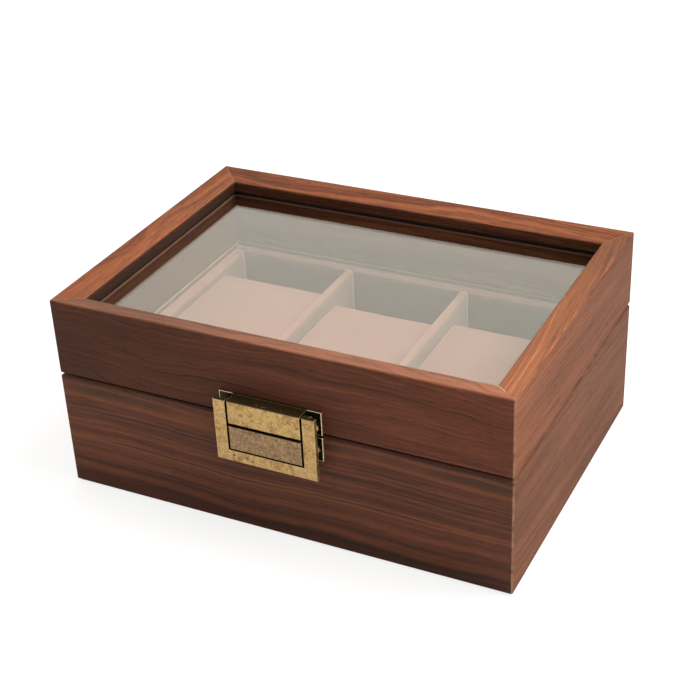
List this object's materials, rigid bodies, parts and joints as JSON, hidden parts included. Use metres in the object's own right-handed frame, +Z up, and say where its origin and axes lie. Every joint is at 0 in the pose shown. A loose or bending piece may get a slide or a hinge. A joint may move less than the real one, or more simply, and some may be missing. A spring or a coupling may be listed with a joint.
{
  "type": "eyeglasses display box",
  "caption": "Wood-grain box with a hinged window lid, a front bail latch and a velvet-lined tray of three compartments, each with a soft cushion for folded eyeglasses",
  "frame": {"origin": "centre of the underside of the box's footprint, on the table plane, lid closed", "axes": "+X to the box's right as seen from the front, along its longest side; +Y from the latched front to the hinged back; +Z up"},
  "size_m": [0.25, 0.1895, 0.1107],
  "materials": {
    "walnut_base": "satin wood-grain surface over board",
    "walnut_lid": "satin wood-grain surface over board",
    "board": "plain board",
    "felt": "felt",
    "velvet_board": "board wrapped in short-pile velvet",
    "velvet": "short-pile velvet over foam",
    "window_glass": "polished clear",
    "black_seal": "matt",
    "aged_brass": "antique, mottled patina",
    "hinge_brass": "satin"
  },
  "bodies": {
    "base": {"base_front_panel": "walnut_base", "base_back_panel": "walnut_base", "base_left_panel": "walnut_base", "base_right_panel": "walnut_base", "bottom_panel": "board", "bottom_felt": "felt", "tray_floor": "velvet_board", "tray_front_wall": "velvet_board", "tray_back_wall": "velvet_board", "tray_left_wall": "velvet_board", "tray_right_wall": "velvet_board", "divider_left": "velvet_board", "divider_right": "velvet_board", "cushion_left": "velvet", "cushion_middle": "velvet", "cushion_right": "velvet", "latch_catch": "aged_brass", "latch_catch_screws": "aged_brass", "hinge_left_base_leaf": "hinge_brass", "hinge_right_base_leaf": "hinge_brass", "hinge_left_pin": "hinge_brass", "hinge_right_pin": "hinge_brass", "hinge_base_screws": "hinge_brass"},
    "lid": {"lid_front_rail": "walnut_lid", "lid_back_rail": "walnut_lid", "lid_left_rail": "walnut_lid", "lid_right_rail": "walnut_lid", "lid_liner_front": "walnut_lid", "lid_liner_back": "walnut_lid", "lid_liner_left": "walnut_lid", "lid_liner_right": "walnut_lid", "glass_pane": "window_glass", "glass_gasket": "black_seal", "latch_keeper": "aged_brass", "latch_keeper_screws": "aged_brass", "latch_pivot_pin": "aged_brass", "hinge_left_lid_leaf": "hinge_brass", "hinge_right_lid_leaf": "hinge_brass", "hinge_lid_screws": "hinge_brass"},
    "bail": {"latch_bail": "aged_brass"}
  },
  "joints": [
    {"name": "lid_hinge", "type": "hinge", "parent": "base", "child": "lid", "pos_m": [0, 0.0889, 0.0674], "axis": [-1, 0, 0], "range_deg": [0, 100]},
    {"name": "latch_swing", "type": "hinge", "parent": "lid", "child": "bail", "pos_m": [0, -0.0946, 0.0773], "axis": [-1, 0, 0], "range_deg": [0, 90]}
  ]
}
